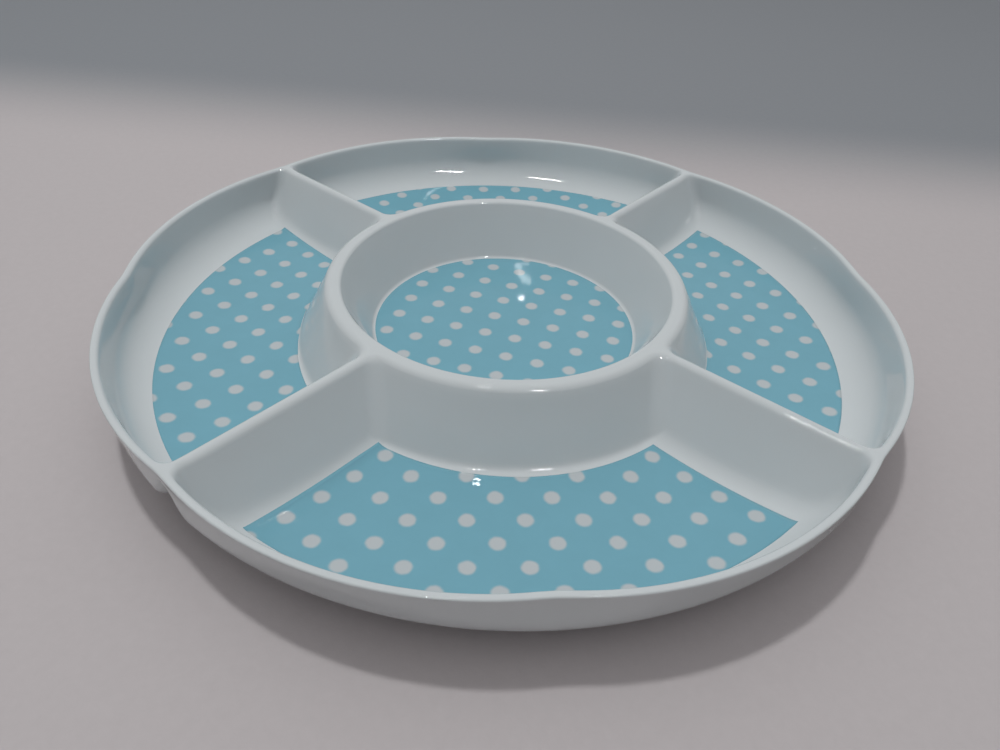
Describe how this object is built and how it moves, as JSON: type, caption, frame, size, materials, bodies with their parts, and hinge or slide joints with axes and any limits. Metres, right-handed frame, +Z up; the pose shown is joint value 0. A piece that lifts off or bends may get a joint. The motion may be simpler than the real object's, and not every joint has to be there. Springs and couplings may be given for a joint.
{
  "type": "divided serving tray",
  "caption": "Round divided serving tray with a scalloped rim, a centre dip bowl and fan compartments round it, with polka dot films in the floors.",
  "frame": {"origin": "middle of the tray on the surface that it stands on", "axes": "+Z up out of the bowls, -Y towards the front compartment, +X towards the right compartment; the dividers run at 45 degrees between them"},
  "size_m": [0.325, 0.325, 0.0334],
  "materials": {
    "white_melamine": "smooth glossy moulded melamine",
    "printed_film": "printed film with white polka dots under a clear glossy overglaze"
  },
  "bodies": {
    "root": {"tray_body": "white_melamine", "centre_decal": "printed_film", "front_decal": "printed_film", "right_decal": "printed_film", "back_decal": "printed_film", "left_decal": "printed_film"}
  },
  "joints": []
}
